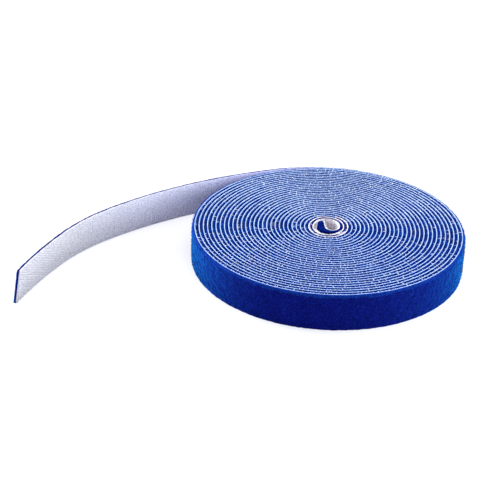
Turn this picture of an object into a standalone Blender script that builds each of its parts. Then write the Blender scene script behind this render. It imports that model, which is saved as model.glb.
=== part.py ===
# A roll of hook and loop cable tie, 19 mm wide, lying on its side.
#
# The tie is one long tape of two layers bonded back to back: a soft loop pile on the outside of
# each turn and a thin hook tape on the inside. It is wound into a flat roll. Its inner end is
# curled into the eye of the roll, where its pile stands up unpressed, and its outer end is drawn
# off in a long bend and stands on its edge beside the roll.
#
# Both layers are swept along the same line, the bond line between them. The line is drawn flat,
# seen from above, and runs from the inner end outwards, anticlockwise.
#
# Units are metres. The tape's width is along Z and its lower edge is at Z = 0. The origin is on
# the table, under the middle of the whole outline.

import math

import bmesh
import bpy

MM = 0.001
FULL_TURN = 2.0 * math.pi

# Tape
TAPE_WIDTH = 19.0 * MM
PILE_THICKNESS = 1.30 * MM
HOOK_THICKNESS = 0.45 * MM
BOND_CLEARANCE = 0.10 * MM

# Roll
EYE_RADIUS = 6.41 * MM
EYE_STRETCH = 1.60 * MM
TURNS = 29.284
START_ANGLE = math.radians(-6.0)
TURN_CLEARANCE = 0.30 * MM

# Inner end, curled into the eye
LOOSE_PILE_THICKNESS = 3.60 * MM
TIP_PILE_THICKNESS = 2.40 * MM
EYE_CLEARANCE = 2.10 * MM
CORNER_CLEARANCE = 0.40 * MM
CURL_ANGLE = math.radians(166.0)

# Outer end, drawn off the roll: the length and the radius of each bend, in order from the roll
TAIL_BENDS = (
    (23.0 * MM, 86.0 * MM),
    (104.0 * MM, 227.0 * MM),
    (34.0 * MM, 106.0 * MM),
    (43.0 * MM, 252.0 * MM),
)
TAIL_LEAN = math.radians(6.4)

# Facets: a turn's corners lie in line with those of the turn inside it, and the outermost turns,
# which show from the side, have twice the steps
TURN_STEPS = 22
OUTER_TURNS = 1.5
SHORTEST_STEP = 0.02
RUN_STEPS = 3
CURL_STEPS = 9
TAIL_STEP = 11.0 * MM
RUN_STEP = 0.1 * MM

# Colours, linear RGB
PILE_COLOUR = (0.006, 0.028, 0.260, 1.0)
HOOK_COLOUR = (0.640, 0.660, 0.780, 1.0)

PITCH = PILE_THICKNESS + BOND_CLEARANCE + HOOK_THICKNESS + TURN_CLEARANCE
HALF_BOND = BOND_CLEARANCE / 2.0


class Station:
    """A place on the bond line: where it is, which way the tape runs there, and its section."""

    def __init__(self, x, y, heading, pile=PILE_THICKNESS, lean=0.0):
        self.x = x
        self.y = y
        self.heading = heading
        self.pile = pile
        self.lean = lean

    def corner(self, offset, height):
        """A point at a distance outside the bond line and at a height above the table."""
        outside = offset - height * math.tan(self.lean)
        x = self.x + outside * math.sin(self.heading)
        y = self.y - outside * math.cos(self.heading)
        return x, y, height


def remove_all_objects():
    for item in list(bpy.data.objects):
        bpy.data.objects.remove(item, do_unlink=True)


def make_material(name, colour, roughness):
    material = bpy.data.materials.new(name)
    material.use_nodes = True
    shader = material.node_tree.nodes["Principled BSDF"]
    shader.inputs["Base Color"].default_value = colour
    shader.inputs["Roughness"].default_value = roughness
    shader.inputs["Metallic"].default_value = 0.0
    material.diffuse_color = colour
    return material


def roll_radius(turned):
    """Radius of the bond line after an angle turned from the start of the first turn.

    The eye is pressed to an oval along Y, and the turns get rounder outwards.
    """
    unwound = 1.0 - turned / (TURNS * FULL_TURN)
    oval = EYE_STRETCH * unwound * math.sin(START_ANGLE + turned) ** 2
    return EYE_RADIUS + PITCH * turned / FULL_TURN + oval


def roll_station(turned):
    radius = roll_radius(turned)
    angle = START_ANGLE + turned
    step = 0.001
    growth = (roll_radius(turned + step) - roll_radius(turned - step)) / (2.0 * step)
    heading = angle + math.pi / 2.0 - math.atan2(growth, radius)
    return Station(radius * math.cos(angle), radius * math.sin(angle), heading)


def roll_stations():
    """The wound turns, up to where the outer end leaves them."""
    stations = []
    end = TURNS * FULL_TURN
    step = FULL_TURN / TURN_STEPS
    turned = 0.0
    while turned < end - SHORTEST_STEP * step:
        stations.append(roll_station(turned))
        if turned >= end - OUTER_TURNS * FULL_TURN:
            step = FULL_TURN / TURN_STEPS / 2.0
        turned += step
    stations.append(roll_station(end))
    return stations


def bend(start, length, radius):
    """Stations along an arc that carries on from a station and turns left as it goes."""
    stations = []
    steps = max(2, round(length / TAIL_STEP))
    centre_x = start.x - radius * math.sin(start.heading)
    centre_y = start.y + radius * math.cos(start.heading)
    for step in range(1, steps + 1):
        heading = start.heading + length * step / steps / radius
        x = centre_x + radius * math.sin(heading)
        y = centre_y - radius * math.cos(heading)
        stations.append(Station(x, y, heading))
    return stations


def tail_stations(start):
    """The outer end: bends one after another, leaning over more and more towards its tip."""
    stations = []
    total = sum(length for length, _ in TAIL_BENDS)
    passed = 0.0
    for length, radius in TAIL_BENDS:
        arc = bend(start, length, radius)
        for count, station in enumerate(arc, start=1):
            station.lean = TAIL_LEAN * (passed + length * count / len(arc)) / total
        stations.extend(arc)
        start = arc[-1]
        passed += length
    return stations


def curl_radius():
    """The curl lays the loose pile at its clearance from the first turn, across the eye."""
    across = roll_radius(0.0) + roll_radius(math.pi) - HALF_BOND - HOOK_THICKNESS
    taken = EYE_CLEARANCE + LOOSE_PILE_THICKNESS + HALF_BOND
    return (across - taken) / 2.0


def inner_stations(start):
    """The inner end, from its tip to the first turn: a straight run, then the curl."""
    radius = curl_radius()
    curl = []
    for step in range(CURL_STEPS, 0, -1):
        share = step / CURL_STEPS
        heading = start.heading - CURL_ANGLE * share
        x = start.x + radius * (math.sin(heading) - math.sin(start.heading))
        y = start.y - radius * (math.cos(heading) - math.cos(start.heading))
        pile = PILE_THICKNESS + (LOOSE_PILE_THICKNESS - PILE_THICKNESS) * share**1.5
        curl.append(Station(x, y, heading, pile))
    return run_stations(curl[0]) + curl


def run_stations(foot):
    """The straight run up to the curl. Its pile gets thinner towards the tip, more and more so."""
    run = straight_run(foot)
    stations = []
    for step in range(RUN_STEPS):
        back = run * (1.0 - (step / RUN_STEPS) ** 2)
        x = foot.x - back * math.cos(foot.heading)
        y = foot.y - back * math.sin(foot.heading)
        loose = LOOSE_PILE_THICKNESS - TIP_PILE_THICKNESS
        stations.append(Station(x, y, foot.heading, TIP_PILE_THICKNESS + loose * step / RUN_STEPS))
    return stations


def straight_run(foot):
    """How far the tape runs on from the curl before its corner nears the first turn's hooks."""
    corner_x, corner_y, _ = foot.corner(HALF_BOND + TIP_PILE_THICKNESS, 0.0)
    run = 0.0
    while True:
        x = corner_x - (run + RUN_STEP) * math.cos(foot.heading)
        y = corner_y - (run + RUN_STEP) * math.sin(foot.heading)
        turned = math.atan2(y, x) % FULL_TURN - START_ANGLE
        hooks = roll_radius(turned) - HALF_BOND - HOOK_THICKNESS
        if math.hypot(x, y) > hooks - CORNER_CLEARANCE:
            return run
        run += RUN_STEP


def bond_line():
    turns = roll_stations()
    return inner_stations(turns[0]) + turns + tail_stations(turns[-1])


def sweep_layer(name, line, inner_face, outer_face, material):
    """A layer of the tape: an upright section carried along the bond line and closed at its ends."""
    mesh = bmesh.new()
    previous = None
    for station in line:
        inner = inner_face(station)
        outer = outer_face(station)
        corners = ((inner, 0.0), (outer, 0.0), (outer, TAPE_WIDTH), (inner, TAPE_WIDTH))
        section = [mesh.verts.new(station.corner(*corner)) for corner in corners]
        if previous is None:
            mesh.faces.new(section)
        else:
            for side in range(4):
                after = (side + 1) % 4
                mesh.faces.new((previous[side], section[side], section[after], previous[after]))
        previous = section
    mesh.faces.new(list(reversed(previous)))
    bmesh.ops.recalc_face_normals(mesh, faces=mesh.faces)
    data = bpy.data.meshes.new(name)
    mesh.to_mesh(data)
    mesh.free()
    data.materials.append(material)
    layer = bpy.data.objects.new(name, data)
    bpy.context.scene.collection.objects.link(layer)
    return layer


def middle_of(layers):
    """The middle of the outline of all layers, seen from above."""
    middle = []
    for axis in (0, 1):
        places = [vertex.co[axis] for layer in layers for vertex in layer.data.vertices]
        middle.append((min(places) + max(places)) / 2.0)
    return middle


def build():
    remove_all_objects()
    line = bond_line()
    pile_material = make_material("blue_loop_pile", PILE_COLOUR, 0.95)
    hook_material = make_material("white_hook_tape", HOOK_COLOUR, 0.55)
    loop_tape = sweep_layer(
        "loop_tape",
        line,
        lambda station: HALF_BOND,
        lambda station: HALF_BOND + station.pile,
        pile_material,
    )
    hook_tape = sweep_layer(
        "hook_tape",
        line,
        lambda station: -HALF_BOND - HOOK_THICKNESS,
        lambda station: -HALF_BOND,
        hook_material,
    )
    layers = (loop_tape, hook_tape)
    middle_x, middle_y = middle_of(layers)
    for layer in layers:
        layer.location = (-middle_x, -middle_y, 0.0)


build()
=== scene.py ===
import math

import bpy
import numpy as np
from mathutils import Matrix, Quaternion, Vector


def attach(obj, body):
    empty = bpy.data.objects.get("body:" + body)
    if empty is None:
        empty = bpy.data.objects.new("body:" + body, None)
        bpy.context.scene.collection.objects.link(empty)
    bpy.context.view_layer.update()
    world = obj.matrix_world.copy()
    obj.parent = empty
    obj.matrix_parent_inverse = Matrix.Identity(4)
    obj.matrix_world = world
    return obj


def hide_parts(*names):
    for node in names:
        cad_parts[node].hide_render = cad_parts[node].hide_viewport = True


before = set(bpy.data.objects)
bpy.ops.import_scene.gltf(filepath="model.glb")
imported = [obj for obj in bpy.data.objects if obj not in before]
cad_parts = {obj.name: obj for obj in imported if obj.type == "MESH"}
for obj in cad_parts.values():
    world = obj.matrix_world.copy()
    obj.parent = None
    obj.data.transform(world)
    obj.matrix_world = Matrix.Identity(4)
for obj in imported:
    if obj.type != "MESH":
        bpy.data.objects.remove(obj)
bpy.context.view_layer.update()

# A roll of hook and loop cable tie on a white table: blue loop pile outside, white hooks inside.
# Both layers follow one line, the bond line between them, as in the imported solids. All sizes are in
# metres. A place on the tape is given by how far along the line it is, how far outside the line,
# and how high above the table.

MM = 0.001
FULL_TURN = 2.0 * math.pi
SEED = 20

# Tape and roll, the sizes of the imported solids. Only the free end's lean is greater here.
TAPE_WIDTH = 19.0 * MM
PILE_THICKNESS = 1.30 * MM
HOOK_THICKNESS = 0.45 * MM
HALF_BOND = 0.05 * MM
TURN_CLEARANCE = 0.30 * MM
EYE_RADIUS = 6.41 * MM
EYE_STRETCH = 1.60 * MM
TURNS = 29.284
START_ANGLE = math.radians(-6.0)
LOOSE_PILE = 3.60 * MM
TIP_PILE = 2.40 * MM
CURL_RADIUS = 3.84 * MM
CURL_ANGLE = math.radians(166.0)
INNER_RUN = 6.80 * MM
TAIL_BENDS = (
    (23.0 * MM, 86.0 * MM),
    (104.0 * MM, 227.0 * MM),
    (34.0 * MM, 106.0 * MM),
    (43.0 * MM, 252.0 * MM),
)
TAIL_LEAN = math.radians(9.2)
PITCH = PILE_THICKNESS + 2.0 * HALF_BOND + HOOK_THICKNESS + TURN_CLEARANCE
PILE_FACE = HALF_BOND + PILE_THICKNESS
HOOK_FACE = -HALF_BOND - HOOK_THICKNESS

# Places along the tape, in turns from the start of the first one
SLOT = (0.38, 0.74)
CURL_EDGE = (0.6, 0.95)
LINING_END = 1.0
RING_EDGE = (1.5, 1.95)
EYE_END = 2.2
OUTER_START = TURNS - 1.1

# Distances from the roll's axis that bound the eye and the rim
EYE_REACH = 20.0 * MM
RIM_REACH = 72.0 * MM

# Pile: its steps along the tape, its edges, and how far its corners reach in, down and up
CURL_STEP = 0.45 * MM
WOUND_STEP = 1.5 * MM
OUTER_STEP = 0.5 * MM
FINE_RUN = 6.0 * MM
WOUND_LOW = 0.1 * MM
WOUND_HIGH = TAPE_WIDTH - 0.08 * MM
OUTER_HIGH = TAPE_WIDTH - 0.05 * MM
WOUND_ROUNDING = (0.35 * MM, 0.35 * MM, 0.35 * MM)
OUTER_ROUNDING = (1.15 * MM, 2.2 * MM, 0.2 * MM)
MOST_ROUNDED = 0.9
TIP_ROUNDING = 2.2 * MM
TIP_SHARPNESS = 0.98

# On the free end the pile stands up better than on the roll, so its corners are less rounded
LESS_IN = 0.48
LESS_DOWN = 0.6
UNROUNDING_RUN = 20.0 * MM

# Points across the pile, up its wall and round each corner, and how uneven they are
PLAIN_POINTS = (3, 4)
PLAIN_OUT = 0.05 * MM
PLAIN_UP = 0.10 * MM
NAP_POINTS = (34, 7)
NAP = 0.06 * MM
BOND_SKIN = 0.1 * MM

# Hook tape: its backing, and the spacing of its hooks
BACKING_START = 0.6 * MM
BACKING_STEP = 1.4 * MM
OPEN_BACKING_STEP = 0.7 * MM
BACKING_FACE = HOOK_FACE + 0.05 * MM
BACKING_LOW = 0.05 * MM
BACKING_HIGH = TAPE_WIDTH - 0.06 * MM
BACKING_WAVE = 0.05 * MM
BACKING_CUT = 0.05 * MM
EDGE_HOOK_SPACING = 2.0 * MM
EYE_HOOK_SPACING = 0.5 * MM
FIELD_SPACING = 1.3 * MM
LINING_SPACING = 0.8 * FIELD_SPACING
SLOT_SPACING = 0.35 * FIELD_SPACING
ROW_SPACING = 1.4 * MM
LINING_STRETCH = 1.6
SLOT_STRETCH = 3.2
FEWEST_EDGE_HOOKS = 0.30

# Loose loops
WALL_LOOPS = 6000
TOP_LOOPS = 5000
LOOP_RADIUS = 0.045 * MM
LOOP_RISE = 0.35

# Camera, as the photograph was taken. Its place and aim are measured from the roll's axis.
CAMERA_PLACE = (0.0, -625.6 * MM, 348.8 * MM)
CAMERA_AIM = (-43.3 * MM, -13.7 * MM, 9.5 * MM)
CAMERA_ROLL = math.radians(1.6)
CAMERA_LENS = 99.6
SENSOR_WIDTH = 36.0


def roll_radius(turned):
    """Radius of the bond line after an angle turned from the start of the first turn."""
    unwound = 1.0 - turned / (TURNS * FULL_TURN)
    oval = EYE_STRETCH * unwound * np.sin(START_ANGLE + turned) ** 2
    return EYE_RADIUS + PITCH * turned / FULL_TURN + oval


class BondLine:
    """The line that both layers follow, with the pile's thickness and the tape's lean along it."""

    FINE = 0.1 * MM
    ROLL_POINTS = 90001
    CURL_POINTS = 200
    RUN_POINTS = 80

    def __init__(self):
        turned = np.linspace(0.0, TURNS * FULL_TURN, self.ROLL_POINTS)
        radius = roll_radius(turned)
        roll_x = radius * np.cos(START_ANGLE + turned)
        roll_y = radius * np.sin(START_ANGLE + turned)
        roll_heading = np.unwrap(np.arctan2(np.gradient(roll_y), np.gradient(roll_x)))
        inner_x, inner_y, inner_heading, inner_pile = self.inner_end(
            roll_x[0], roll_y[0], roll_heading[0]
        )
        tail_x, tail_y, tail_heading = self.tail(roll_x[-1], roll_y[-1], roll_heading[-1])
        self.x = np.concatenate((inner_x, roll_x, tail_x))
        self.y = np.concatenate((inner_y, roll_y, tail_y))
        self.heading = np.concatenate((inner_heading, roll_heading, tail_heading))
        self.pile = np.full(len(self.x), PILE_THICKNESS)
        self.pile[: len(inner_pile)] = inner_pile
        self.s = np.concatenate(([0.0], np.cumsum(np.hypot(np.diff(self.x), np.diff(self.y)))))
        self.roll_start = self.s[len(inner_x)]
        self.roll_end = self.s[len(inner_x) + len(roll_x) - 1]
        self.end = self.s[-1]
        self.turned = np.concatenate(
            (np.zeros(len(inner_x)), turned, np.full(len(tail_x), turned[-1]))
        )
        self.eye_end = self.after_turns(EYE_END)
        self.centre()

    def inner_end(self, x, y, heading):
        """The straight run from the tip, then the curl up to the start of the first turn."""
        share = np.linspace(1.0, 0.0, self.CURL_POINTS, endpoint=False)
        curl_heading = heading - CURL_ANGLE * share
        curl_x = x + CURL_RADIUS * (np.sin(curl_heading) - math.sin(heading))
        curl_y = y - CURL_RADIUS * (np.cos(curl_heading) - math.cos(heading))
        curl_pile = PILE_THICKNESS + (LOOSE_PILE - PILE_THICKNESS) * share**1.5
        back = np.linspace(INNER_RUN, 0.0, self.RUN_POINTS, endpoint=False)
        run_x = curl_x[0] - back * math.cos(curl_heading[0])
        run_y = curl_y[0] - back * math.sin(curl_heading[0])
        run_heading = np.full(len(back), curl_heading[0])
        run_pile = TIP_PILE + (LOOSE_PILE - TIP_PILE) * np.sqrt(1.0 - back / INNER_RUN)
        return (
            np.concatenate((run_x, curl_x)),
            np.concatenate((run_y, curl_y)),
            np.concatenate((run_heading, curl_heading)),
            np.concatenate((run_pile, curl_pile)),
        )

    def tail(self, x, y, heading):
        """The bends of the free end, from the roll to the tip."""
        parts = []
        for length, radius in TAIL_BENDS:
            count = round(length / self.FINE)
            headings = heading + np.arange(1, count + 1) * self.FINE / radius
            part_x = x + radius * (np.sin(headings) - math.sin(heading))
            part_y = y - radius * (np.cos(headings) - math.cos(heading))
            parts.append((part_x, part_y, headings))
            x, y, heading = part_x[-1], part_y[-1], headings[-1]
        return [np.concatenate([part[k] for part in parts]) for k in range(3)]

    def centre(self):
        """The origin is under the middle of the outline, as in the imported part."""
        outer = HALF_BOND + self.pile
        edge_x = np.concatenate((self.x + outer * np.sin(self.heading), self.x))
        edge_y = np.concatenate((self.y - outer * np.cos(self.heading), self.y))
        self.axis_x = -(edge_x.min() + edge_x.max()) / 2.0
        self.axis_y = -(edge_y.min() + edge_y.max()) / 2.0
        self.x = self.x + self.axis_x
        self.y = self.y + self.axis_y

    def at(self, s, values):
        """Values kept along the line, at places along it."""
        return np.interp(s, self.s, values)

    def after_turns(self, turns):
        """How far along the line a number of turns ends."""
        return np.interp(turns * FULL_TURN, self.turned, self.s)

    def lean(self, s):
        """The free end leans over more and more towards its tip."""
        return TAIL_LEAN * np.clip((s - self.roll_end) / (self.end - self.roll_end), 0.0, 1.0)

    def place(self, s, outside, height):
        """Points in space: s along the line, outside it, and at a height. All are arrays alike."""
        s, outside, height = np.broadcast_arrays(s, outside, height)
        heading = self.at(s, self.heading)
        out = outside - height * np.tan(self.lean(s))
        x = self.at(s, self.x) + out * np.sin(heading)
        y = self.at(s, self.y) - out * np.cos(heading)
        return np.stack((x, y, height), axis=-1)


# Meshes

def mesh_object(name, points, quads, caps=()):
    """An object from an array of points, an array of quads and a list of end faces."""
    points = np.asarray(points, dtype=np.float64).reshape(-1, 3)
    quads = np.asarray(quads, dtype=np.int32).reshape(-1, 4)
    caps = np.asarray(caps, dtype=np.int32)
    data = bpy.data.meshes.new(name)
    data.vertices.add(len(points))
    data.vertices.foreach_set("co", points.ravel())
    corners = np.concatenate((quads.ravel(), caps.ravel()))
    data.loops.add(len(corners))
    data.loops.foreach_set("vertex_index", corners)
    totals = np.full(len(quads), 4)
    if len(caps):
        totals = np.concatenate((totals, np.full(len(caps), caps.shape[1])))
    starts = np.concatenate(([0], np.cumsum(totals)[:-1]))
    data.polygons.add(len(totals))
    data.polygons.foreach_set("loop_start", starts)
    data.polygons.foreach_set("loop_total", totals)
    data.update(calc_edges=True)
    data.validate()
    data.shade_smooth()
    piece = bpy.data.objects.new(name, data)
    bpy.context.scene.collection.objects.link(piece)
    return piece


def swept(name, line, s, outside, height):
    """A closed strip: section k of the tape is the loop of points outside[k], height[k]."""
    count, corners = outside.shape
    points = line.place(s[:, None], outside, height)
    ring = np.arange(corners)
    following = (ring + 1) % corners
    base = np.arange(count - 1)[:, None] * corners
    quads = np.stack(
        (base + ring, base + corners + ring, base + corners + following, base + following), axis=-1
    )
    caps = [ring, (count - 1) * corners + ring[::-1]]
    return mesh_object(name, points, quads, caps)


def tubes(name, paths, radius, side_hint, sides=4):
    """Many small tubes in one mesh: paths is (tubes, points, 3), radius is (tubes, points)."""
    count, steps, _ = paths.shape
    tiny = 1e-12
    along = np.gradient(paths, axis=1)
    along /= np.linalg.norm(along, axis=2, keepdims=True) + tiny
    hint = np.broadcast_to(np.asarray(side_hint, dtype=float).reshape(-1, 1, 3), along.shape)
    first = np.cross(along, hint)
    first /= np.linalg.norm(first, axis=2, keepdims=True) + tiny
    second = np.cross(along, first)
    turn = np.arange(sides) * FULL_TURN / sides + math.pi / 4.0
    rim = first[:, :, None] * np.cos(turn)[:, None] + second[:, :, None] * np.sin(turn)[:, None]
    points = paths[:, :, None] + rim * radius[:, :, None, None]
    ring = np.arange(sides)
    following = (ring + 1) % sides
    base = (np.arange(count)[:, None] * steps + np.arange(steps - 1)[None, :]).reshape(-1, 1) * sides
    quads = np.stack(
        (base + ring, base + following, base + sides + following, base + sides + ring), axis=-1
    )
    start = np.arange(count)[:, None] * steps * sides
    caps = np.concatenate((start + ring[::-1], start + (steps - 1) * sides + ring))
    return mesh_object(name, points, quads, caps)


def soft_noise(random, shape, reach):
    """Smooth random values with unit spread; reach is how many places each axis is blurred by."""
    values = random.normal(size=shape)
    for axis, width in enumerate(reach):
        for _ in range(width):
            values = (np.roll(values, 1, axis) + 2.0 * values + np.roll(values, -1, axis)) / 4.0
    return values / values.std()


def steps_between(start, end, step):
    """Places from start to end, evenly spaced and about a step apart."""
    return np.linspace(start, end, max(2, round((end - start) / step) + 1))


# Materials. The stops of a ramp are (position, colour).

PILE_SHEEN = ((0.50, (0.015, 0.30, 1.0)), (0.85, (0.03, 0.54, 1.7)))
WALL_PILE = (
    (0.34, (0.003, 0.003, 0.09)),
    (0.52, (0.005, 0.008, 0.19)),
    (0.70, (0.010, 0.028, 0.36)),
)
# Painted shade: a darker blue for the pile's tops between the turns and the free end's upper edge.
# The loose loops take the same blues as their own colour.
LOOPS_AND_PAINTED_SHADE = (
    (0.36, (0.001, 0.004, 0.04)),
    (0.54, (0.003, 0.015, 0.15)),
    (0.72, (0.018, 0.088, 0.54)),
)
# Painted light: a lighter blue with less sheen for the roll's rounded rim, where the light from above
# falls.
RIM_PAINTED_LIGHT = (
    (0.36, (0.003, 0.015, 0.16)),
    (0.54, (0.006, 0.032, 0.27)),
    (0.70, (0.013, 0.072, 0.46)),
)
CURL_PILE = (
    (0.36, (0.001, 0.002, 0.04)),
    (0.54, (0.002, 0.007, 0.11)),
    (0.70, (0.004, 0.022, 0.26)),
)

# Painted reflection and shade: what multiplies the free end's white, from this X to that one, bluer
# and a little darker towards the blue roll
PAINTED_BLUE_BOUNCE_SPAN = (-90.0 * MM, -10.0 * MM)
PAINTED_BLUE_BOUNCE = (
    (0.0, (0.92, 0.88, 0.85)),
    (0.4, (0.97, 0.94, 0.99)),
    (0.8, (0.88, 0.87, 1.0)),
    (1.0, (0.79, 0.78, 1.0)),
)


def principled(name, roughness, specular, sheen=0.0):
    material = bpy.data.materials.new(name)
    material.use_nodes = True
    tree = material.node_tree
    shader = tree.nodes["Principled BSDF"]
    shader.inputs["Roughness"].default_value = roughness
    shader.inputs["Specular IOR Level"].default_value = specular
    shader.inputs["Sheen Weight"].default_value = sheen
    shader.inputs["Sheen Roughness"].default_value = 0.35
    return material, tree, shader


def add_noise(tree, scale, detail, roughness):
    place = tree.nodes.new("ShaderNodeTexCoord")
    noise = tree.nodes.new("ShaderNodeTexNoise")
    noise.inputs["Scale"].default_value = scale
    noise.inputs["Detail"].default_value = detail
    noise.inputs["Roughness"].default_value = roughness
    tree.links.new(place.outputs["Object"], noise.inputs["Vector"])
    return noise.outputs["Fac"]


def add_ramp(tree, factor, stops):
    ramp = tree.nodes.new("ShaderNodeValToRGB")
    elements = ramp.color_ramp.elements
    while len(elements) < len(stops):
        elements.new(0.5)
    for element, (position, colour) in zip(elements, stops):
        element.position = position
        element.color = (*colour, 1.0)
    tree.links.new(factor, ramp.inputs["Fac"])
    return ramp.outputs["Color"]


def add_bump(tree, shader, height, strength, distance):
    bump = tree.nodes.new("ShaderNodeBump")
    bump.inputs["Strength"].default_value = strength
    bump.inputs["Distance"].default_value = distance
    tree.links.new(height, bump.inputs["Height"])
    tree.links.new(bump.outputs["Normal"], shader.inputs["Normal"])


def pile_material(name, stops, sheen):
    """Blue nylon loops: a mottle of three blues under the azure sheen of a nap seen edge on."""
    material, tree, shader = principled(name, roughness=0.95, specular=0.0, sheen=sheen)
    weight = tree.nodes.new("ShaderNodeLayerWeight")
    azure = add_ramp(tree, weight.outputs["Facing"], PILE_SHEEN)
    tree.links.new(azure, shader.inputs["Sheen Tint"])
    mottle = add_noise(tree, scale=1500.0, detail=3.0, roughness=0.7)
    tree.links.new(add_ramp(tree, mottle, stops), shader.inputs["Base Color"])
    loops = add_noise(tree, scale=1700.0, detail=3.0, roughness=0.7)
    add_bump(tree, shader, loops, strength=0.9, distance=0.25 * MM)
    return material


def hook_material(name, dark, pale, scale=1400.0):
    """White nylon of the hook tape and its hooks."""
    material, tree, shader = principled(name, roughness=0.45, specular=0.15)
    mottle = add_noise(tree, scale, detail=2.0, roughness=0.6)
    white = add_ramp(tree, mottle, ((0.30, dark), (0.65, pale)))
    tree.links.new(white, shader.inputs["Base Color"])
    weave = add_noise(tree, scale=2600.0, detail=2.0, roughness=0.6)
    add_bump(tree, shader, weave, strength=0.5, distance=0.12 * MM)
    return material


def open_hook_material():
    """The free end's hook face: white at the tip, turning violet towards the blue roll, a painted
    reflection of the roll's blue light with painted shade.
    """
    material = hook_material("white_hook_tape", (0.49, 0.50, 0.61), (0.93, 0.94, 0.98))
    tree = material.node_tree
    shader = tree.nodes["Principled BSDF"]
    white = shader.inputs["Base Color"].links[0].from_socket
    place = tree.nodes.new("ShaderNodeTexCoord")
    axes = tree.nodes.new("ShaderNodeSeparateXYZ")
    along = tree.nodes.new("ShaderNodeMapRange")
    along.inputs["From Min"].default_value = PAINTED_BLUE_BOUNCE_SPAN[0]
    along.inputs["From Max"].default_value = PAINTED_BLUE_BOUNCE_SPAN[1]
    painted_bounce = add_ramp(tree, along.outputs["Result"], PAINTED_BLUE_BOUNCE)
    both = tree.nodes.new("ShaderNodeMix")
    both.data_type = "RGBA"
    both.blend_type = "MULTIPLY"
    both.inputs["Factor"].default_value = 1.0
    tree.links.new(place.outputs["Object"], axes.inputs["Vector"])
    tree.links.new(axes.outputs["X"], along.inputs["Value"])
    tree.links.new(white, both.inputs["A"])
    tree.links.new(painted_bounce, both.inputs["B"])
    tree.links.new(both.outputs["Result"], shader.inputs["Base Color"])
    return material


def hook_materials():
    """The whites of the hook side, in the order of the slots that follow."""
    return (
        # Painted light and shade in the deep eye: a brighter white than the free end's, with mauve
        # dark spots standing for the shade between the hooks.
        hook_material("eye_lining_painted_light_and_shade", (0.42, 0.34, 0.44), (0.98, 0.98, 0.98), scale=1100.0),
        hook_material("bluish_hook_edge", (0.26, 0.40, 0.78), (0.51, 0.67, 0.94)),
        # Painted shade, bluish: the hook strip's side faces in the gaps between the turns.
        hook_material("hook_face_painted_shade", (0.18, 0.29, 0.50), (0.36, 0.52, 0.75)),
        open_hook_material(),
        hook_material("white_hook_ends", (0.62, 0.66, 0.80), (0.98, 0.98, 1.0)),
    )


EYE_PAINTED_LIGHT_AND_SHADE, WOUND_EDGE, WOUND_PAINTED_SHADE, OPEN_FACE, HOOK_ENDS = range(5)


# Pieces of the tape

def pile_strip(name, line, random, s, low, high, rounding, nap=None):
    """Pile with rounded outer corners and a rounded inner end.

    rounding is how far the corners reach in, the upper one down and the lower one up. With a nap,
    the pile has many rows of points, and its wall is as uneven as the nap is high.
    """
    rows, corner_points = PLAIN_POINTS if nap is None else NAP_POINTS
    corner = np.linspace(0.0, math.pi / 2.0, corner_points)
    thickness = line.at(s, line.pile)[:, None]
    tip = np.sqrt(1.0 - np.clip(1.0 - s / TIP_ROUNDING, 0.0, TIP_SHARPNESS) ** 2)[:, None]
    inner = HALF_BOND + thickness * (1.0 - tip) / 2.0
    outer = HALF_BOND + thickness * (1.0 + tip) / 2.0
    low = np.full_like(inner, low)
    high = np.full_like(inner, high)

    reach_in, reach_down, reach_up = rounding
    loose = np.clip((s - line.roll_end) / UNROUNDING_RUN, 0.0, 1.0)[:, None]
    reach_in = np.minimum(reach_in * (1.0 - LESS_IN * loose), (outer - inner) * MOST_ROUNDED)
    reach_down = reach_down * (1.0 - LESS_DOWN * loose)

    lower_out = outer - reach_in * (1.0 - np.sin(corner))
    lower_up = low + reach_up * (1.0 - np.cos(corner))
    upper_out = outer - reach_in * (1.0 - np.cos(corner))
    upper_up = high - reach_down * (1.0 - np.sin(corner))
    share = np.linspace(0.0, 1.0, rows)[1:-1]
    wall_out = np.repeat(outer, len(share), axis=1)
    wall_up = (low + reach_up) * (1.0 - share) + (high - reach_down) * share
    inner_out = np.repeat(inner, 3, axis=1)
    inner_up = np.concatenate((high, (low + high) / 2.0, low), axis=1)
    outside = np.concatenate((lower_out, wall_out, upper_out, inner_out), axis=1)
    height = np.concatenate((lower_up, wall_up, upper_up, inner_up), axis=1)

    soft = outside > inner + BOND_SKIN
    if nap is None:
        height = height + soft * PLAIN_UP * random.normal(size=outside.shape)
        outside = outside + soft * PLAIN_OUT * random.normal(size=outside.shape)
    else:
        bumps = soft_noise(random, outside.shape, (2, 2))
        bumps = bumps + 0.6 * soft_noise(random, outside.shape, (6, 6))
        outside = outside + soft * nap * bumps
        height = height + soft * nap * 0.5 * soft_noise(random, outside.shape, (2, 1))
    height = np.clip(height, 0.0, TAPE_WIDTH)
    return swept(name, line, s, outside, height)


def hook_strip(name, line, random, s):
    """The woven backing of the hooks, with its corners cut and a slightly uneven upper edge."""
    cut = BACKING_CUT
    high = BACKING_HIGH + BACKING_WAVE * soft_noise(random, (len(s),), (3,))[:, None]
    low = np.full_like(high, BACKING_LOW)
    inner = np.full_like(high, BACKING_FACE)
    outer = np.full_like(high, -HALF_BOND)
    corners = (
        (inner + cut, low),
        (outer - cut, low),
        (outer, low + cut),
        (outer, high - cut),
        (outer - cut, high),
        (inner + cut, high),
        (inner, high - cut),
        (inner, low + cut),
    )
    outside = np.concatenate([out for out, _ in corners], axis=1)
    height = np.concatenate([up for _, up in corners], axis=1)
    return swept(name, line, s, outside, height)


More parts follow.
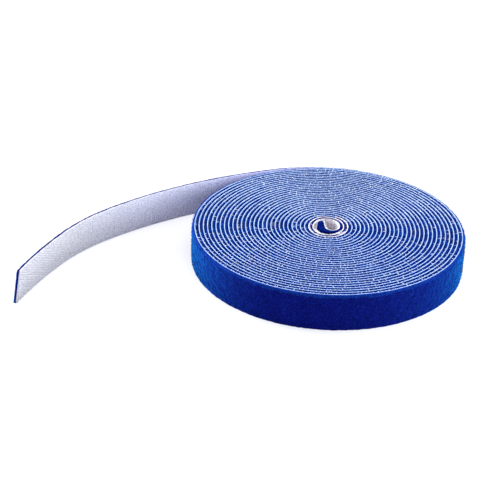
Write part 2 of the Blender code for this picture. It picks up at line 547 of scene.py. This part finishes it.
def wound_places(line, random):
    """Where hooks show on the faces of the roll: fewer of them at its left and right sides."""
    s = np.arange(line.after_turns(LINING_END), line.roll_end, EDGE_HOOK_SPACING)
    across = np.abs(np.sin(START_ANGLE + line.at(s, line.turned)))
    share = FEWEST_EDGE_HOOKS + (1.0 - FEWEST_EDGE_HOOKS) * across
    return s[random.uniform(size=len(s)) < share]


def eye_places(line, span):
    """Where hooks show on the eye's edges, over a span given in turns."""
    first, last = span
    return np.arange(line.after_turns(first), line.after_turns(last), EYE_HOOK_SPACING)


def edge_hooks(name, line, random, s, far, drift):
    """Hooks at the tape's two edges that reach inwards, across the pile of the turn inside them.

    far is how far in they end, and drift is how unevenly they are spaced.
    """
    count = len(s)
    share = np.linspace(0.0, 1.0, 4)
    root = 0.1 * MM
    sideways = 0.25 * MM
    least_sink = 0.08 * MM
    more_sink = 0.12 * MM
    droop = 0.15 * MM
    thinnest = 0.10 * MM
    across = HOOK_FACE + root - (far + root) * share
    stagger = least_sink * (1.0 + np.arange(count) % 2)
    paths = []
    radii = []
    for upper in (True, False):
        start = s + drift * random.normal(size=count)
        bend = sideways * random.normal(size=count)
        sink = stagger + random.uniform(0.0, more_sink, count)
        along = start[:, None] + bend[:, None] * share
        depth = sink[:, None] + droop * share**2
        height = TAPE_WIDTH - depth if upper else depth
        outside = across * (1.0 + 0.03 * random.normal(size=(count, 1)))
        paths.append(line.place(along, outside, height))
        radius = thinnest * (1.0 + 0.7 * random.uniform(size=(count, 1)) ** 3)
        radii.append(np.repeat(radius, len(share), axis=1))
    return tubes(name, np.concatenate(paths), np.concatenate(radii), side_hint=(0.0, 0.0, 1.0))


def hook_field(name, line, random):
    """Rows of small bent hooks on the hook face wherever it is open: the free end and the eye.

    Those in the eye are longer, most of all in the slot between the curl and the first turn.
    """
    slot_start, slot_end = (line.after_turns(turns) for turns in SLOT)
    lining_end = line.after_turns(LINING_END)
    first_column = 0.8 * MM
    first_row = 0.7 * MM
    margin = 0.5 * MM
    columns = np.concatenate(
        (
            np.arange(first_column, slot_start, LINING_SPACING),
            np.arange(slot_start, slot_end, SLOT_SPACING),
            np.arange(slot_end, lining_end, LINING_SPACING),
            np.arange(line.roll_end, line.end - margin, FIELD_SPACING),
        )
    )

    # A hook from its root to its point: how far out of the tape, how far aside, and its radius
    reach = np.array([-0.2, 0.22, 0.44, 0.52, 0.46, 0.34]) * MM
    swing = np.array([0.0, 0.0, 0.08, 0.28, 0.46, 0.50]) * MM
    radius = np.array([0.16, 0.15, 0.14, 0.14, 0.12, 0.09]) * MM
    twist = 0.3
    uneven = 0.08 * MM
    paths = []
    for count, s in enumerate(columns):
        shift = ROW_SPACING / 2.0 if count % 2 else 0.0
        rows = np.arange(first_row + shift, TAPE_WIDTH - margin, ROW_SPACING)
        turn = twist * random.normal(size=len(rows))
        along = s + uneven * random.normal(size=len(rows))
        up = rows + uneven * random.normal(size=len(rows))
        stretch = LINING_STRETCH
        if s > lining_end:
            stretch = 1.0
        elif slot_start < s < slot_end:
            stretch = SLOT_STRETCH
        side = swing * np.cos(turn)[:, None]
        rise = swing * np.sin(turn)[:, None]
        outside = HOOK_FACE - reach * stretch
        paths.append(line.place(along[:, None] + side, outside, up[:, None] + rise))
    paths = np.concatenate(paths)
    radii = np.broadcast_to(radius, paths.shape[:2])
    return tubes(name, paths, radii, side_hint=(0.0, 0.0, 1.0))


def fuzz(name, line, random, count, spans, length):
    """Loose loops that stand out of the nap.

    spans is where they are, from and to: along the tape, in height, and outside the bond line.
    """
    s, up, out = [random.uniform(*span, count) for span in spans]
    share = np.linspace(-0.5, 0.5, 5)
    arch = np.sin(np.linspace(0.0, math.pi, len(share)))
    turn = random.uniform(0.0, math.pi, count)
    span = length * random.uniform(0.6, 1.3, count)
    rise = LOOP_RISE * length * random.uniform(0.5, 1.4, count)
    along = s[:, None] + span[:, None] * share * np.cos(turn)[:, None]
    height = up[:, None] + span[:, None] * share * np.sin(turn)[:, None]
    outside = out[:, None] + rise[:, None] * arch
    height = np.clip(height, 0.03 * MM, TAPE_WIDTH + 0.1 * MM)
    paths = line.place(np.clip(along, 0.0, line.end), outside, height)
    radii = np.full(paths.shape[:2], LOOP_RADIUS)
    return tubes(name, paths, radii, side_hint=(0.03, 0.02, 1.0), sides=3)


# Stage

def stage_material(name):
    """A pale matt table that the camera sees as white, apart from the object's faint shadow."""
    material = bpy.data.materials.new(name)
    material.use_nodes = True
    tree = material.node_tree
    tree.nodes.remove(tree.nodes["Principled BSDF"])
    table = tree.nodes.new("ShaderNodeBsdfDiffuse")
    table.inputs["Color"].default_value = (0.60, 0.60, 0.61, 1.0)
    seen = tree.nodes.new("ShaderNodeBsdfDiffuse")
    seen.inputs["Color"].default_value = (0.34, 0.33, 0.29, 1.0)
    glow = tree.nodes.new("ShaderNodeEmission")
    glow.inputs["Color"].default_value = (0.80, 0.81, 0.90, 1.0)
    glow.inputs["Strength"].default_value = 0.84
    both = tree.nodes.new("ShaderNodeAddShader")
    path = tree.nodes.new("ShaderNodeLightPath")
    mix = tree.nodes.new("ShaderNodeMixShader")
    tree.links.new(seen.outputs["BSDF"], both.inputs[0])
    tree.links.new(glow.outputs["Emission"], both.inputs[1])
    tree.links.new(path.outputs["Is Camera Ray"], mix.inputs[0])
    tree.links.new(table.outputs["BSDF"], mix.inputs[1])
    tree.links.new(both.outputs["Shader"], mix.inputs[2])
    tree.links.new(mix.outputs["Shader"], tree.nodes["Material Output"].inputs["Surface"])
    return material


def add_floor():
    half = 3.0
    points = ((-half, -half, 0.0), (half, -half, 0.0), (half, half, 0.0), (-half, half, 0.0))
    floor = mesh_object("floor", points, ((0, 1, 2, 3),))
    floor.location.z = -0.05 * MM
    floor.data.materials.append(stage_material("white_table"))


def add_world():
    """A grey sky that the camera sees as white."""
    world = bpy.data.worlds.new("studio")
    world.use_nodes = True
    tree = world.node_tree
    background = tree.nodes["Background"]
    path = tree.nodes.new("ShaderNodeLightPath")
    seen = tree.nodes.new("ShaderNodeMix")
    seen.data_type = "RGBA"
    seen.inputs["A"].default_value = (0.46, 0.49, 0.56, 1.0)
    seen.inputs["B"].default_value = (1.0, 1.0, 1.0, 1.0)
    tree.links.new(path.outputs["Is Camera Ray"], seen.inputs["Factor"])
    tree.links.new(seen.outputs["Result"], background.inputs["Color"])
    bpy.context.scene.world = world


def add_lamp(name, place, size, power, colour=(1.0, 1.0, 1.0)):
    """A square lamp that shines on the middle of the part."""
    data = bpy.data.lights.new(name, "AREA")
    data.shape = "SQUARE"
    data.size = size
    data.energy = power
    data.color = colour
    lamp = bpy.data.objects.new(name, data)
    lamp.location = place
    aim = Vector((0.0, 0.0, 0.01)) - Vector(place)
    lamp.rotation_euler = aim.to_track_quat("-Z", "Y").to_euler()
    bpy.context.scene.collection.objects.link(lamp)


def add_lamps():
    add_lamp("top_lamp", (0.15, 0.1, 1.2), size=0.8, power=10.0)
    add_lamp("left_lamp", (-1.1, 0.55, 0.35), size=0.6, power=34.0)
    add_lamp("right_lamp", (1.1, 0.15, 0.4), size=0.6, power=13.5, colour=(0.86, 0.94, 1.0))


def add_camera(line):
    data = bpy.data.cameras.new("camera")
    data.lens = CAMERA_LENS
    data.sensor_width = SENSOR_WIDTH
    camera = bpy.data.objects.new("camera", data)
    camera.location = Vector((line.axis_x, line.axis_y, 0.0)) + Vector(CAMERA_PLACE)
    aim = (Vector(CAMERA_AIM) - Vector(CAMERA_PLACE)).to_track_quat("-Z", "Y")
    camera.rotation_mode = "QUATERNION"
    camera.rotation_quaternion = aim @ Quaternion((0.0, 0.0, 1.0), CAMERA_ROLL)
    bpy.context.scene.collection.objects.link(camera)
    bpy.context.scene.camera = camera


# Which face has which material

def from_axis(line, face):
    """How far a face is from the roll's axis."""
    return math.hypot(face.center.x - line.axis_x, face.center.y - line.axis_y)


def along_tape(piece, s, face):
    """How far along the tape a face of a swept strip is; s is where its sections are."""
    corners = len(piece.data.vertices) // len(s)
    return s[min(face.index // corners, len(s) - 1)]


def dress_pile(line, pieces, wound_s):
    """The wall; a darker blue of painted shade on the pile's tops between the turns and on the free
    end's upper edge, which is also the loose loops' own colour; a lighter blue of painted light on
    the roll's rounded rim; and the darker loose pile of the curl.
    """
    pile_wound, pile_outer, wall_fuzz, top_fuzz = pieces
    wall = pile_material("blue_loop_pile", WALL_PILE, sheen=1.0)
    loops_and_painted_shade = pile_material("blue_loops_and_painted_shade", LOOPS_AND_PAINTED_SHADE, sheen=0.05)
    rim = pile_material("blue_pile_rim_painted_light", RIM_PAINTED_LIGHT, sheen=0.4)
    curl = pile_material("blue_curl_pile", CURL_PILE, sheen=0.05)
    slots = (
        (pile_wound, (loops_and_painted_shade, curl)),
        (pile_outer, (wall, rim, loops_and_painted_shade)),
        (wall_fuzz, (loops_and_painted_shade,)),
        (top_fuzz, (loops_and_painted_shade,)),
    )
    for piece, materials in slots:
        for material in materials:
            piece.data.materials.append(material)
    # Painted shade on the wound pile's tops. The curl's inner end gets the darker curl pile.
    for face in pile_wound.data.polygons:
        if along_tape(pile_wound, wound_s, face) < line.roll_start:
            face.material_index = 1
    # Upward faces: painted light on the roll's rim, painted shade on the free end's upper edge.
    for face in pile_outer.data.polygons:
        if face.normal.z > 0.2:
            face.material_index = 1 if from_axis(line, face) < RIM_REACH else 2


def dress_hooks(line, pieces, backing_s):
    """White in the eye and on the free end, bluish between the turns of pile. The eye's white carries
    painted light and shade, and the strip's side faces between the turns carry painted shade.
    """
    backing, edges, _, _, field = pieces
    materials = hook_materials()
    for piece in pieces:
        for material in materials:
            piece.data.materials.append(material)
    for face in backing.data.polygons:
        s = along_tape(backing, backing_s, face)
        if s < line.eye_end:
            face.material_index = EYE_PAINTED_LIGHT_AND_SHADE
        elif s < line.roll_end:
            # The strip's side faces between the turns get painted shade.
            face.material_index = WOUND_EDGE if face.normal.z > 0.5 else WOUND_PAINTED_SHADE
        else:
            face.material_index = OPEN_FACE
    for face in edges.data.polygons:
        face.material_index = HOOK_ENDS
    # The hooks in the eye get the eye's painted light and shade.
    for face in field.data.polygons:
        face.material_index = EYE_PAINTED_LIGHT_AND_SHADE if from_axis(line, face) < EYE_REACH else OPEN_FACE


def build(line):
    random = np.random.default_rng(SEED)
    outer_start = line.after_turns(OUTER_START)

    fine_end = line.roll_start + FINE_RUN
    fine_s = steps_between(0.0, fine_end, CURL_STEP)
    wound_s = np.concatenate((fine_s[:-1], steps_between(fine_end, outer_start, WOUND_STEP)))
    pile_wound = pile_strip(
        "pile_wound", line, random, wound_s, WOUND_LOW, WOUND_HIGH, WOUND_ROUNDING
    )
    outer_s = steps_between(outer_start, line.end, OUTER_STEP)
    pile_outer = pile_strip(
        "pile_outer", line, random, outer_s, 0.0, OUTER_HIGH, OUTER_ROUNDING, NAP
    )

    closed_s = steps_between(BACKING_START, line.roll_end, BACKING_STEP)
    open_s = steps_between(line.roll_end, line.end, OPEN_BACKING_STEP)
    backing_s = np.concatenate((closed_s[:-1], open_s))
    backing = hook_strip("hook_backing", line, random, backing_s)
    edge_s = wound_places(line, random)
    edges = edge_hooks("edge_hooks", line, random, edge_s, far=1.75 * MM, drift=0.35 * MM)
    curl_s = eye_places(line, CURL_EDGE)
    curl_edge = edge_hooks("curl_edge_hooks", line, random, curl_s, far=0.9 * MM, drift=0.1 * MM)
    ring_s = eye_places(line, RING_EDGE)
    ring_edge = edge_hooks("ring_edge_hooks", line, random, ring_s, far=1.6 * MM, drift=0.1 * MM)
    field = hook_field("hook_field", line, random)

    wall_spans = (
        (outer_start, line.end),
        (0.2 * MM, TAPE_WIDTH - 0.3 * MM),
        (PILE_FACE - 0.15 * MM, PILE_FACE),
    )
    wall_fuzz = fuzz("wall_fuzz", line, random, WALL_LOOPS, wall_spans, length=0.9 * MM)
    top_spans = (
        (0.0, line.end),
        (WOUND_HIGH - 0.25 * MM, WOUND_HIGH + 0.15 * MM),
        (0.3 * MM, PILE_FACE - 0.4 * MM),
    )
    top_fuzz = fuzz("top_fuzz", line, random, TOP_LOOPS, top_spans, length=0.8 * MM)

    pile_pieces = (pile_wound, pile_outer, wall_fuzz, top_fuzz)
    dress_pile(line, pile_pieces, wound_s)
    for piece in pile_pieces:
        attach(piece, "root")
    hook_pieces = (backing, edges, curl_edge, ring_edge, field)
    dress_hooks(line, hook_pieces, backing_s)
    for piece in hook_pieces:
        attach(piece, "root")
    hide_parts("loop_tape")
    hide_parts("hook_tape")


add_floor()
add_world()
add_lamps()
tape_line = BondLine()
add_camera(tape_line)
build(tape_line)
bpy.context.scene.view_settings.view_transform = "Standard"
